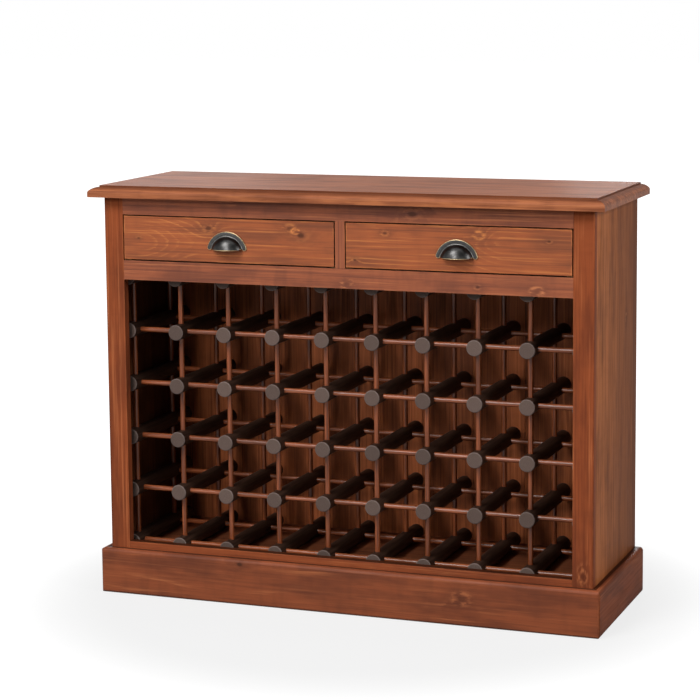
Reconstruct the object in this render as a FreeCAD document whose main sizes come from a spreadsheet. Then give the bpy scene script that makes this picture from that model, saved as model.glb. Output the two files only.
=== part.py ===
"""Wine cabinet: a dowel bottle rack under two drawers, in stained pine on a moulded plinth.

Millimetres, +Z up. The origin is on the floor, under the middle of the cabinet's outer box.
The drawers are on the -Y side and +X is to the right of someone who stands in front of them.
"""
import FreeCAD, Part
import math
import os
from types import SimpleNamespace

import Sketcher

# Driving sizes, in millimetres, and counts
SIZES = {
    # bottle rack: thick pegs from front to back, tied by thin rods plugged into them
    "peg_columns": 10,
    "peg_rows": 6,
    "column_pitch": 113,
    "row_pitch": 118,
    "peg_diameter": 34,
    "peg_length": 288,
    "peg_chamfer": 1.5,
    "peg_setback": 31,
    "rod_diameter": 11,
    "rod_setback": 30,
    "rod_spacing": 185,
    "socket_depth": 10,
    "socket_clearance": 0.15,
    "seat_clearance": 0.2,
    "rack_clearance": 0.5,
    "rack_back_gap": 34,
    # carcass and face frame
    "side_thickness": 19,
    "corner_round": 2.5,
    "stile_width": 44,
    "frame_thickness": 20,
    "top_rail_height": 38,
    "middle_rail_height": 42,
    "bottom_rail_height": 55,
    "bottom_rail_reveal": 15,
    "divider_width": 22,
    "drawer_opening_height": 99.3,
    "tenon_length": 24,
    "tenon_thickness": 8,
    "tenon_shoulder": 7,
    "stub_tenon_length": 10,
    "panel_tongue": 8,
    "housing_depth": 8,
    "floor_thickness": 18,
    "floor_recess": 11,
    "dust_thickness": 12,
    # back of tongued boards
    "back_board_count": 9,
    "back_thickness": 12,
    "back_rebate": 10,
    "board_tongue": 6,
    "board_tongue_thickness": 4,
    "board_gap": 1,
    "groove_clearance": 0.3,
    "back_rail_thickness": 20,
    # top board with a stepped and rounded edge
    "top_thickness": 25,
    "top_overhang": 27,
    "step_overhang": 7,
    "step_height": 3.5,
    "fascia_height": 9,
    "nose_radius": 8,
    # plinth
    "plinth_height": 100,
    "plinth_thickness": 18,
    "plinth_round": 8,
    "plinth_corner": 6,
    "plinth_foot_round": 6,
    # drawer runners, kickers and stops
    "runner_height": 12,
    "runner_ledge": 20,
    "guide_height": 42,
    "guide_clearance": 0.5,
    "slide_clearance": 0.4,
    "stop_width": 40,
    "stop_depth": 25,
    "stop_reach": 5,
    # drawers
    "drawer_gap": 2.5,
    "drawer_back_gap": 28,
    "front_easing": 1.5,
    "lap_thickness": 6,
    "drawer_side_thickness": 12,
    "drawer_back_thickness": 12,
    "drawer_back_inset": 12,
    "drawer_bottom_thickness": 5,
    "bottom_height": 9,
    "groove_depth": 6,
    "back_drop": 8,
    # cup pulls
    "pull_height": 40,
    "pull_foot": 5.25,
    "flange_thickness": 3,
    "cup_width": 67,
    "cup_height": 24.5,
    "cup_projection": 24,
    "cup_wall": 2.2,
    "boss_spacing": 80,
    "boss_diameter": 8,
    "boss_length": 6,
    # screws
    "pull_screw_diameter": 4,
    "pull_screw_engagement": 5,
    "pull_screw_head_diameter": 8,
    "pull_screw_head_height": 2.6,
    "wood_screw_diameter": 4,
    "wood_screw_head_diameter": 8,
    "wood_screw_head_depth": 3,
    "back_screw_length": 30,
    "top_screw_length": 42,
    "top_screw_sinking": 8,
    "screw_clearance": 0.15,
    # every cut runs this far past the wood that it leaves
    "overrun": 5,
}
top_screw_shares = (0.25, 0.75)
stop_shares = (0.25, 0.75)
diagonal_share = math.sqrt(0.5)

doc = FreeCAD.newDocument("wine_cabinet")
sheet = doc.addObject("Spreadsheet::Sheet", "sizes")
for row, (alias, number) in enumerate(SIZES.items(), 1):
    sheet.set(f"A{row}", alias)
    sheet.set(f"B{row}", str(number))
    sheet.setAlias(f"B{row}", alias)
doc.recompute()


class Formula:
    """A length worked out from cells of the sheet, kept as its text and as its present value."""

    def __init__(self, text, value):
        self.text = text
        self.value = value

    def __add__(self, other):
        other = as_formula(other)
        return Formula(f"({self.text} + {other.text})", self.value + other.value)

    def __sub__(self, other):
        other = as_formula(other)
        return Formula(f"({self.text} - {other.text})", self.value - other.value)

    def __mul__(self, other):
        other = as_formula(other)
        return Formula(f"({self.text} * {other.text})", self.value * other.value)

    def __truediv__(self, other):
        other = as_formula(other)
        return Formula(f"({self.text} / {other.text})", self.value / other.value)

    def __neg__(self):
        return self * -1


def as_formula(item):
    """A plain count, share or zero becomes a formula too."""
    return item if isinstance(item, Formula) else Formula(f"({item})", item)


size = SimpleNamespace(**{alias: Formula("sizes." + alias, float(sheet.get(alias))) for alias in SIZES})
nodes = []

# Levels and planes that several pieces share
carcass_width = (
    (size.peg_columns - 1) * size.column_pitch + size.peg_diameter
    + size.rack_clearance * 2 + size.side_thickness * 2
)
half_width = carcass_width / 2
inner = half_width - size.side_thickness
opening_edge = half_width - size.stile_width
half_divider = size.divider_width / 2
carcass_depth = size.peg_setback + size.peg_length + size.rack_back_gap + size.back_thickness
face = (size.top_overhang - carcass_depth) / 2
frame_back = face + size.frame_thickness
rear = face + carcass_depth
back_inner = rear - size.back_thickness
back_rail_front = back_inner - size.back_rail_thickness
floor_top = size.plinth_height - size.floor_recess
floor_bottom = floor_top - size.floor_thickness
first_row = floor_top + size.seat_clearance + size.peg_diameter / 2
rack_top = first_row + (size.peg_rows - 1) * size.row_pitch + size.peg_diameter / 2
dust_bottom = rack_top + size.rack_clearance
dust_top = dust_bottom + size.dust_thickness
opening_bottom = dust_top + size.runner_height
opening_top = opening_bottom + size.drawer_opening_height
carcass_top = opening_top + size.top_rail_height
bottom_rail_top = size.plinth_height + size.bottom_rail_reveal
hands = ((-1, "left"), (1, "right"))
forward = FreeCAD.Vector(0, -1, 0)
backward = FreeCAD.Vector(0, 1, 0)
upward = FreeCAD.Vector(0, 0, 1)


def bind(item, **formulas):
    """Bind properties to formulas, where a double underscore in a name stands for a dot."""
    for name, formula in formulas.items():
        item.setExpression(name.replace("__", "."), as_formula(formula).text)


def place(item, x=0, y=0, z=0):
    """Put an object's own origin at a point of the cabinet."""
    bind(item, Placement__Base__x=x, Placement__Base__y=y, Placement__Base__z=z)


def node(item, label):
    """Name a finished sub-part, and keep it for the export."""
    item.Label = label
    nodes.append(item)


def mirrored(span, side):
    """A span from the middle outwards, on the right for side 1 and on the left for side -1."""
    start, end = span
    return (start, end) if side > 0 else (-end, -start)


def block(name, x, y, z):
    """A square-edged piece of wood, or a cut, between pairs of planes."""
    item = doc.addObject("Part::Box", name)
    spans = [(as_formula(start), as_formula(end)) for start, end in (x, y, z)]
    bind(item, **{edge: end - start for edge, (start, end) in zip(("Length", "Width", "Height"), spans)})
    place(item, *(start for start, end in spans))
    return item


def bore(name, direction, x, y, z, diameter, length):
    """A round cut that starts at a point and runs in a direction."""
    item = doc.addObject("Part::Cylinder", name)
    item.Placement.Rotation = FreeCAD.Rotation(upward, direction)
    bind(item, Radius=diameter / 2, Height=length)
    place(item, x, y, z)
    return item


def join(name, pieces):
    """Several shapes of one piece of wood, or of one cut."""
    item = doc.addObject("Part::MultiFuse", name)
    item.Shapes = pieces
    item.Refine = True
    return item


def cut(name, base, tools):
    """A piece less the cuts made in it."""
    tool = doc.addObject("Part::Compound", name + "_cuts")
    tool.Links = tools
    item = doc.addObject("Part::Cut", name)
    item.Base = base
    item.Tool = tool
    return item


def new_body(name, separate=False):
    """A body, which holds several separate solids where it is a set of equal pieces."""
    body = doc.addObject("PartDesign::Body", name)
    body.AllowCompound = separate
    return body


def origin_plane(body, role):
    """One of the three planes through a body's own origin."""
    return next(item for item in body.Origin.OriginFeatures if item.Role == role)


def new_sketch(body, name, role):
    """A sketch on one of the body's own origin planes."""
    sketch = body.newObject("Sketcher::SketchObject", name)
    sketch.AttachmentSupport = [(origin_plane(body, role), "")]
    sketch.MapMode = "FlatFace"
    return sketch


def dimension(sketch, name, kind, formula, *where):
    """A dimension of a sketch, bound to its formula."""
    index = sketch.addConstraint(Sketcher.Constraint(kind, *where, formula.value))
    sketch.renameConstraint(index, name)
    sketch.setExpression("Constraints." + name, formula.text)


def locate(sketch, name, geometry, spot, x, y):
    """Fix a point of a sketch at its distances from the origin, or on an axis where one is zero."""
    for kind, formula, axis in (("DistanceX", x, -2), ("DistanceY", y, -1)):
        if isinstance(formula, Formula):
            dimension(sketch, name + kind, kind, formula, -1, 1, geometry, spot)
        else:
            sketch.addConstraint(Sketcher.Constraint("PointOnObject", geometry, spot, axis))


def outline(body, name, role, corners):
    """A closed outline, counter-clockwise, from its corners.

    A third item in a corner is the radius of the round side that leads to it: a bulge for a plain
    radius, a hollow for a negative one.
    """
    sketch = new_sketch(body, name, role)
    points = [FreeCAD.Vector(as_formula(x).value, as_formula(y).value, 0) for x, y, *bend in corners]
    starts = []
    for index, start in enumerate(points):
        following = (index + 1) % len(points)
        end = points[following]
        side = Part.LineSegment(start, end)
        for radius in corners[following][2:]:
            chord = end - start
            bulge = abs(radius.value) - math.sqrt(radius.value ** 2 - (chord.Length / 2) ** 2)
            outward = FreeCAD.Vector(chord.y, -chord.x, 0).normalize()
            side = Part.Arc(start, (start + end) / 2 + outward * math.copysign(bulge, radius.value), end)
        sketch.addGeometry(side, False)
        tip = sketch.getPoint(index, 1)
        starts.append(1 if (tip - start).Length < (tip - end).Length else 2)
    for index, (x, y, *bend) in enumerate(corners):
        before = (index - 1) % len(points)
        meeting = (before, 3 - starts[before], index, starts[index])
        sketch.addConstraint(Sketcher.Constraint("Coincident", *meeting))
        locate(sketch, f"corner{index}", index, starts[index], x, y)
        for radius in bend:
            length = radius if radius.value > 0 else -radius
            dimension(sketch, f"radius{index}", "Radius", length, before)
    return sketch


def circles(body, name, role, diameter, centres):
    """A sketch of equal circles."""
    sketch = new_sketch(body, name, role)
    for index, (x, y) in enumerate(centres):
        middle = FreeCAD.Vector(as_formula(x).value, as_formula(y).value, 0)
        sketch.addGeometry(Part.Circle(middle, upward, diameter.value / 2), False)
        locate(sketch, f"middle{index}", index, 3, x, y)
        dimension(sketch, f"diameter{index}", "Diameter", diameter, index)
    return sketch


def pad(body, profile, length, middle=False, backwards=False):
    """Carry a profile along a length, from its plane or to both sides of it."""
    feature = body.newObject("PartDesign::Pad", profile.Name + "_pad")
    feature.Profile = profile
    feature.Midplane = middle
    feature.Reversed = backwards
    bind(feature, Length=length)
    return feature


def pocket(body, profile, length, middle=False, forwards=False):
    """Cut a profile along a length, against the sketch's normal or, forwards, along it."""
    feature = body.newObject("PartDesign::Pocket", profile.Name + "_pocket")
    feature.Profile = profile
    feature.Midplane = middle
    feature.Reversed = forwards
    bind(feature, Length=length)
    return feature


def turn(body, profile):
    """Turn a profile round the upright axis of its sketch."""
    feature = body.newObject("PartDesign::Revolution", profile.Name + "_turned")
    feature.Profile = profile
    feature.ReferenceAxis = (profile, ["V_Axis"])
    feature.Angle = 360
    return feature


def repeat(body, feature, sketch, axes, pitches, counts):
    """Repeat a feature in columns and rows along two axes of a sketch."""
    doc.recompute()
    pattern = body.newObject("PartDesign::LinearPattern", feature.Name + "_pattern")
    pattern.Originals = [feature]
    pattern.Direction = (sketch, [axes[0]])
    pattern.Direction2 = (sketch, [axes[1]])
    bind(pattern, Length=pitches[0] * (counts[0] - 1), Occurrences=counts[0])
    bind(pattern, Length2=pitches[1] * (counts[1] - 1), Occurrences2=counts[1])
    body.Tip = pattern


def mirror(body, feature):
    """Repeat a feature on the other side of the body's middle plane."""
    doc.recompute()
    copy = body.newObject("PartDesign::Mirrored", feature.Name + "_mirrored")
    copy.Originals = [feature]
    copy.MirrorPlane = (origin_plane(body, "YZ_Plane"), [""])
    body.Tip = copy


def screw_hole(name, direction, x, y, z, length):
    """A hole for a wood screw whose flat head ends at the given point."""
    diameter = size.wood_screw_diameter + size.screw_clearance * 2
    sink = doc.addObject("Part::Cone", name + "_sink")
    sink.Placement.Rotation = FreeCAD.Rotation(upward, direction)
    bind(sink, Height=size.wood_screw_head_depth, Radius2=diameter / 2)
    bind(sink, Radius1=size.wood_screw_head_diameter / 2 + size.screw_clearance)
    place(sink, x, y, z)
    shank = bore(name + "_shank", direction, x, y, z, diameter, length + size.screw_clearance)
    return join(name, [sink, shank])


def wood_screws(name, role, grid_role, length, way, pitches, counts):
    """A set of flat-headed wood screws, from their heads up or down the sketch."""
    body = new_body(name + "_set", separate=True)
    profile = outline(body, name + "_outline", role, [
        (0, 0),
        (size.wood_screw_head_diameter / 2, 0),
        (size.wood_screw_diameter / 2, size.wood_screw_head_depth * way),
        (size.wood_screw_diameter / 2, length * way),
        (0, length * way),
    ])
    grid = circles(body, name + "_grid", grid_role, size.wood_screw_diameter, [(0, 0)])
    repeat(body, turn(body, profile), grid, ("H_Axis", "V_Axis"), pitches, counts)
    node(body, name)
    return body


# Bottle rack: a peg has a socket wherever a rod meets it
peg_front = face + size.peg_setback
rod_depths = [size.rod_setback, size.rod_setback + size.rod_spacing]
peg_radius = size.peg_diameter / 2
socket_floor = peg_radius - size.socket_depth
socket_diameter = size.rod_diameter + size.socket_clearance * 2
rack_left = -(size.peg_columns - 1) * size.column_pitch / 2
rack_pitches = (size.column_pitch, size.row_pitch)
upright_counts = (size.peg_columns, size.peg_rows - 1)
cross_counts = (size.peg_columns - 1, size.peg_rows)

pegs = new_body("pegs", separate=True)
peg_outline = outline(pegs, "peg_outline", "XY_Plane", [
    (0, 0),
    (peg_radius - size.peg_chamfer, 0),
    (peg_radius, size.peg_chamfer),
    (peg_radius, size.peg_length - size.peg_chamfer),
    (peg_radius - size.peg_chamfer, size.peg_length),
    (0, size.peg_length),
])
grid = circles(pegs, "peg_grid", "XZ_Plane", size.peg_diameter, [(0, 0)])
grid_axes = ("H_Axis", "V_Axis")
repeat(pegs, turn(pegs, peg_outline), grid, grid_axes, rack_pitches, (size.peg_columns, size.peg_rows))
upright_spots = [(0, y) for y in rod_depths]
upright_sockets = circles(pegs, "upright_sockets", "XY_Plane", socket_diameter, upright_spots)
bind(upright_sockets, AttachmentOffset__Base__z=socket_floor)
upright_cut = pocket(pegs, upright_sockets, size.row_pitch - socket_floor * 2, forwards=True)
repeat(pegs, upright_cut, grid, grid_axes, rack_pitches, upright_counts)
cross_spots = [(y, 0) for y in rod_depths]
cross_sockets = circles(pegs, "cross_sockets", "YZ_Plane", socket_diameter, cross_spots)
bind(cross_sockets, AttachmentOffset__Base__z=socket_floor)
cross_cut = pocket(pegs, cross_sockets, size.column_pitch - socket_floor * 2, forwards=True)
repeat(pegs, cross_cut, grid, grid_axes, rack_pitches, cross_counts)
place(pegs, rack_left, peg_front, first_row)
node(pegs, "rack_pegs")

rod_end = socket_floor + size.socket_clearance
for wall, depth in zip(("front", "back"), rod_depths):
    uprights = new_body(wall + "_uprights", separate=True)
    section = circles(uprights, wall + "_upright_section", "XY_Plane", size.rod_diameter, [(0, 0)])
    upright = pad(uprights, section, size.row_pitch - rod_end * 2)
    repeat(uprights, upright, section, ("H_Axis", "N_Axis"), rack_pitches, upright_counts)
    place(uprights, rack_left, peg_front + depth, first_row + rod_end)
    node(uprights, wall + "_upright_rods")

    crosses = new_body(wall + "_crosses", separate=True)
    section = circles(crosses, wall + "_cross_section", "YZ_Plane", size.rod_diameter, [(0, 0)])
    cross = pad(crosses, section, size.column_pitch - rod_end * 2)
    repeat(crosses, cross, section, ("N_Axis", "V_Axis"), rack_pitches, cross_counts)
    place(crosses, rack_left + rod_end, peg_front + depth, first_row)
    node(crosses, wall + "_cross_rods")

# Face frame: rails tenoned into two stiles, and a divider tenoned between two rails
frame = (face, frame_back)
tenon_front = face + (size.frame_thickness - size.tenon_thickness) / 2
tenon = (tenon_front, tenon_front + size.tenon_thickness)
divider_tenon = block(
    "divider_tenon",
    (-half_divider + size.tenon_shoulder, half_divider - size.tenon_shoulder),
    tenon,
    (opening_bottom - size.stub_tenon_length, opening_top + size.stub_tenon_length),
)
rail_spans = {
    "top_rail": (opening_top, carcass_top),
    "middle_rail": (opening_bottom - size.middle_rail_height, opening_bottom),
    "bottom_rail": (bottom_rail_top - size.bottom_rail_height, bottom_rail_top),
}
rail_reach = opening_edge + size.tenon_length
rail_tenons = []
for name, (bottom, top) in rail_spans.items():
    bar = block(name + "_bar", (-opening_edge, opening_edge), frame, (bottom, top))
    tenon_span = (bottom + size.tenon_shoulder, top - size.tenon_shoulder)
    rail_tenons.append(block(name + "_tenon", (-rail_reach, rail_reach), tenon, tenon_span))
    rail = join(name + "_whole", [bar, rail_tenons[-1]])
    if name != "bottom_rail":
        rail = cut(name + "_mortised", rail, [divider_tenon])
    node(rail, name)
divider = block("divider_bar", (-half_divider, half_divider), frame, (opening_bottom, opening_top))
node(join("divider_whole", [divider, divider_tenon]), "drawer_divider")

# Sides: tongued into the stiles, housed for the boards between them and rebated for the back
housed = inner + size.housing_depth
housed_span = (-housed, housed)
board_depth = (frame_back, back_inner)
floor_blank = block("floor_blank", housed_span, board_depth, (floor_bottom, floor_top))
dust_blank = block("dust_blank", housed_span, board_depth, (dust_bottom, dust_top))
back_rail_blank = block(
    "back_rail_blank", housed_span, (back_rail_front, back_inner), (opening_top, carcass_top)
)
tongue_start = inner + (size.side_thickness - size.panel_tongue) / 2
for side, hand in hands:
    panel_width = mirrored((inner, half_width), side)
    panel = block(hand + "_panel", panel_width, (frame_back, rear), (0, carcass_top))
    tongue = block(
        hand + "_tongue",
        mirrored((tongue_start, tongue_start + size.panel_tongue), side),
        (frame_back - size.panel_tongue, frame_back),
        (0, carcass_top),
    )
    rebate = block(
        hand + "_rebate",
        mirrored((inner - size.overrun, inner + size.back_rebate), side),
        (back_inner, rear + size.overrun),
        (floor_bottom, carcass_top + size.overrun),
    )
    tongued = join(hand + "_tongued", [panel, tongue])
    housings = [floor_blank, dust_blank, back_rail_blank, rebate]
    node(cut(hand + "_housed", tongued, housings), hand + "_side")
    stile = new_body(hand + "_bar")
    stile_section = outline(stile, hand + "_stile_section", "XY_Plane", [
        (opening_edge * side, face),
        ((half_width - size.corner_round) * side, face),
        (half_width * side, face + size.corner_round, size.corner_round * side),
        (half_width * side, frame_back),
        (opening_edge * side, frame_back),
    ])
    pad(stile, stile_section, carcass_top)
    side_groove = block(
        hand + "_groove",
        mirrored((tongue_start, tongue_start + size.panel_tongue), side),
        (frame_back - size.panel_tongue, frame_back + size.overrun),
        (-size.overrun, carcass_top + size.overrun),
    )
    node(cut(hand + "_mortised", stile, rail_tenons + [side_groove]), hand + "_stile")

# Back: tongued boards, screwed to the floor's back edge and to the rail behind the drawers
back_span = (inner + size.back_rebate) * 2
board_width = (back_span - size.board_gap * (size.back_board_count - 1)) / size.back_board_count
board_pitch = board_width + size.board_gap
back_left = -back_span / 2
back_screw_levels = (floor_bottom + size.floor_thickness / 2, opening_top + size.top_rail_height / 2)


def board_strip(name, left, reach, thickness):
    """A strip inside a back board's thickness, from top to bottom: a tongue or a groove."""
    front = back_inner + (size.back_thickness - thickness) / 2
    return block(name, (left, left + reach), (front, front + thickness), (floor_bottom, carcass_top))


floor_holes = []
back_rail_holes = []
board_count = int(size.back_board_count.value)
for index in range(board_count):
    name = f"back_board_{index + 1}"
    left = back_left + board_pitch * index
    board_height = (floor_bottom, carcass_top)
    board = block(name + "_plain", (left, left + board_width), (back_inner, rear), board_height)
    cuts = []
    if index < board_count - 1:
        reach = size.board_gap + size.board_tongue
        tongue = board_strip(name + "_tongue", left + board_width, reach, size.board_tongue_thickness)
        board = join(name + "_tongued", [board, tongue])
    if index > 0:
        reach = size.board_tongue + size.groove_clearance
        thickness = size.board_tongue_thickness + size.groove_clearance * 2
        cuts.append(board_strip(name + "_groove", left, reach, thickness))
    for level, holes, end in zip(back_screw_levels, (floor_holes, back_rail_holes), ("low", "high")):
        middle = left + board_width / 2
        hole = screw_hole(f"{name}_{end}", forward, middle, rear, level, size.back_screw_length)
        holes.append(hole)
        cuts.append(hole)
    node(cut(name + "_cut", board, cuts), name)
node(cut("floor_drilled", floor_blank, floor_holes), "floor_board")
node(cut("back_rail_drilled", back_rail_blank, back_rail_holes), "back_rail")
node(dust_blank, "dust_board")
level_pitch = back_screw_levels[1] - back_screw_levels[0]
back_screws = wood_screws(
    "back_screws", "XY_Plane", "XZ_Plane", size.back_screw_length, -1,
    (board_pitch, level_pitch), (size.back_board_count, as_formula(len(back_screw_levels))),
)
place(back_screws, back_left + board_width / 2, rear, back_screw_levels[0])

# Runners under the drawers' sides, each with a guide that keeps the drawer straight
run_depth = back_inner - frame_back
ledge = opening_edge - size.runner_ledge
guide_face = opening_edge - size.drawer_gap + size.guide_clearance
guide_top = size.runner_height + size.guide_height
centre_ledge = half_divider + size.runner_ledge
centre_guide = half_divider + size.drawer_gap - size.guide_clearance
side_section = [
    (ledge, 0),
    (inner, 0),
    (inner, guide_top),
    (guide_face, guide_top),
    (guide_face, size.runner_height),
    (ledge, size.runner_height),
]
runner_sections = {
    "left_runner": [(-x, z) for x, z in side_section],
    "centre_runner": [
        (-centre_ledge, 0),
        (centre_ledge, 0),
        (centre_ledge, size.runner_height),
        (centre_guide, size.runner_height),
        (centre_guide, guide_top),
        (-centre_guide, guide_top),
        (-centre_guide, size.runner_height),
        (-centre_ledge, size.runner_height),
    ],
    "right_runner": side_section,
}
for name, corners in runner_sections.items():
    runner = new_body(name + "_body")
    pad(runner, outline(runner, name + "_section", "XZ_Plane", corners), run_depth, backwards=True)
    place(runner, 0, frame_back, dust_top)
    node(runner, name)

# Kickers over the drawers' sides keep an open drawer level, and carry the screws that hold the top
kicker_spans = {
    "left_kicker": (-inner, -ledge),
    "centre_kicker": (-centre_ledge, centre_ledge),
    "right_kicker": (ledge, inner),
}
kicker_depth = back_rail_front - frame_back
kicker_pitch = (inner + ledge) / 2
top_screw_level = opening_top + size.top_screw_sinking
top_holes = []
for name, span in kicker_spans.items():
    kicker = block(name + "_bar", span, (frame_back, back_rail_front), (opening_top, carcass_top))
    counterbores = []
    for number, share in enumerate(top_screw_shares):
        spot = ((span[0] + span[1]) / 2, frame_back + kicker_depth * share)
        hole = screw_hole(f"{name}_hole_{number}", upward, *spot, top_screw_level, size.top_screw_length)
        access = bore(
            f"{name}_access_{number}", upward, *spot, opening_top - size.overrun,
            size.wood_screw_head_diameter + size.screw_clearance * 2, size.top_screw_sinking + size.overrun,
        )
        top_holes.append(hole)
        counterbores.append(join(f"{name}_counterbore_{number}", [hole, access]))
    node(cut(name + "_drilled", kicker, counterbores), name)
top_screws = wood_screws(
    "top_screws", "XZ_Plane", "XY_Plane", size.top_screw_length, 1,
    (kicker_pitch, kicker_depth * (top_screw_shares[1] - top_screw_shares[0])),
    (as_formula(len(kicker_spans)), as_formula(len(top_screw_shares))),
)
place(top_screws, -kicker_pitch, frame_back + kicker_depth * top_screw_shares[0], top_screw_level)

# Top board: its edge has a small step, a round in two tangent arcs and an upright fascia
round_reach = size.top_overhang - size.step_overhang
round_top = size.top_thickness - size.step_height
round_drop = round_top - size.fascia_height
crown_radius = (
    (round_reach * round_reach + round_drop * round_drop - round_reach * size.nose_radius * 2)
    / ((round_drop - size.nose_radius) * 2)
)
arc_share = crown_radius / (crown_radius - size.nose_radius)
join_overhang = size.step_overhang + (round_reach - size.nose_radius) * arc_share
join_level = round_top - crown_radius + (crown_radius - round_drop) * arc_share

top = new_body("top")
front_edge = outline(top, "front_edge", "YZ_Plane", [
    (-size.top_overhang, 0),
    (carcass_depth, 0),
    (carcass_depth, size.top_thickness),
    (-size.step_overhang, size.top_thickness),
    (-size.step_overhang, round_top),
    (-join_overhang, join_level, crown_radius),
    (-size.top_overhang, size.fascia_height, size.nose_radius),
])
pad(top, front_edge, carcass_width + size.top_overhang * 2, middle=True)
waste_edge = half_width + size.top_overhang + size.overrun
waste_top = size.top_thickness + size.overrun
end_waste = outline(top, "end_waste", "XZ_Plane", [
    (waste_edge, size.fascia_height),
    (waste_edge, waste_top),
    (half_width + size.step_overhang, waste_top),
    (half_width + size.step_overhang, round_top),
    (half_width + join_overhang, join_level, -crown_radius),
    (half_width + size.top_overhang, size.fascia_height, -size.nose_radius),
])
end_cut = pocket(top, end_waste, (carcass_depth + size.top_overhang) * 2, middle=True)
mirror(top, end_cut)
place(top, 0, face, carcass_top)
node(cut("top_drilled", top, top_holes), "top_board")

# Plinth: three boards with rounded edges, planted on the carcass and mitred at the front corners
plinth_reach = size.plinth_thickness + size.overrun
corner_middle = size.plinth_thickness - size.plinth_corner
corner_mitre = corner_middle + size.plinth_corner * diagonal_share
plinth_front = new_body("plinth_front_body")
section = outline(plinth_front, "plinth_front_section", "YZ_Plane", [
    (0, 0),
    (0, size.plinth_height),
    (-size.plinth_thickness + size.plinth_round, size.plinth_height),
    (-size.plinth_thickness, size.plinth_height - size.plinth_round, size.plinth_round),
    (-size.plinth_thickness, size.plinth_foot_round),
    (-size.plinth_thickness + size.plinth_foot_round, 0, size.plinth_foot_round),
])
pad(plinth_front, section, carcass_width + size.plinth_thickness * 2, middle=True)
mitre = outline(plinth_front, "plinth_front_mitre", "XY_Plane", [
    (half_width - size.overrun, size.overrun),
    (half_width + corner_mitre, -corner_mitre),
    (half_width + corner_middle, -size.plinth_thickness, -size.plinth_corner),
    (half_width + corner_middle, -plinth_reach),
    (half_width + plinth_reach, -plinth_reach),
    (half_width + plinth_reach, size.overrun),
])
mirror(plinth_front, pocket(plinth_front, mitre, size.plinth_height, forwards=True))
place(plinth_front, 0, face, 0)
node(plinth_front, "plinth_front")
for side, hand in hands:
    plinth_side = new_body(f"plinth_{hand}_body")
    corners = [
        (0, 0),
        ((size.plinth_thickness - size.plinth_foot_round) * side, 0),
        (size.plinth_thickness * side, size.plinth_foot_round, size.plinth_foot_round * side),
        (size.plinth_thickness * side, size.plinth_height - size.plinth_round),
        ((size.plinth_thickness - size.plinth_round) * side, size.plinth_height, size.plinth_round * side),
        (0, size.plinth_height),
    ]
    section = outline(plinth_side, f"plinth_{hand}_section", "XZ_Plane", corners)
    pad(plinth_side, section, carcass_depth + size.plinth_thickness, backwards=True)
    mitre = outline(plinth_side, f"plinth_{hand}_mitre", "XY_Plane", [
        (-size.overrun * side, -size.overrun),
        (plinth_reach * side, -size.overrun),
        (plinth_reach * side, size.plinth_corner),
        (size.plinth_thickness * side, size.plinth_corner),
        (corner_mitre * side, size.plinth_thickness - corner_mitre, -size.plinth_corner * side),
        (-size.overrun * side, plinth_reach),
    ])
    pocket(plinth_side, mitre, size.plinth_height, forwards=True)
    place(plinth_side, half_width * side, face - size.plinth_thickness, 0)
    node(plinth_side, f"plinth_{hand}")

# Drawers: lapped fronts, housed backs, bottoms in grooves, and cup pulls screwed on from inside
drawer_span = (half_divider + size.drawer_gap, opening_edge - size.drawer_gap)
drawer_width = drawer_span[1] - drawer_span[0]
side_bottom = opening_bottom + size.slide_clearance
front_bottom = opening_bottom + size.drawer_gap
drawer_top = opening_top - size.drawer_gap
front_height = drawer_top - front_bottom
panel_bottom = side_bottom + size.bottom_height
panel_span = (panel_bottom, panel_bottom + size.drawer_bottom_thickness)
drawer_rear = back_inner - size.drawer_back_gap
drawer_back_rear = drawer_rear - size.drawer_back_inset
drawer_back_span = (drawer_back_rear - size.drawer_back_thickness, drawer_back_rear)
pull_level = (front_bottom + drawer_top - size.pull_height) / 2
foot_reach = size.boss_spacing / 2
boss_places = [(foot_reach * side, size.pull_foot) for side, hand in hands]
crown_rise = size.pull_height - size.pull_foot
arch_drop = (
    (foot_reach * foot_reach + size.pull_foot * size.pull_foot - crown_rise * crown_rise)
    / ((crown_rise - size.pull_foot) * 2)
)
arch_radius = size.pull_height + arch_drop
arch_hollow = arch_radius - size.pull_foot * 2
across_share = foot_reach / (arch_radius - size.pull_foot)
rise_share = (size.pull_foot + arch_drop) / (arch_radius - size.pull_foot)
foot_tip = foot_reach + size.pull_foot * rise_share
lip_level = arch_hollow * rise_share - arch_drop
shoulder_level = arch_radius * rise_share - arch_drop
screw_tip = size.boss_length - size.pull_screw_engagement


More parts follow.
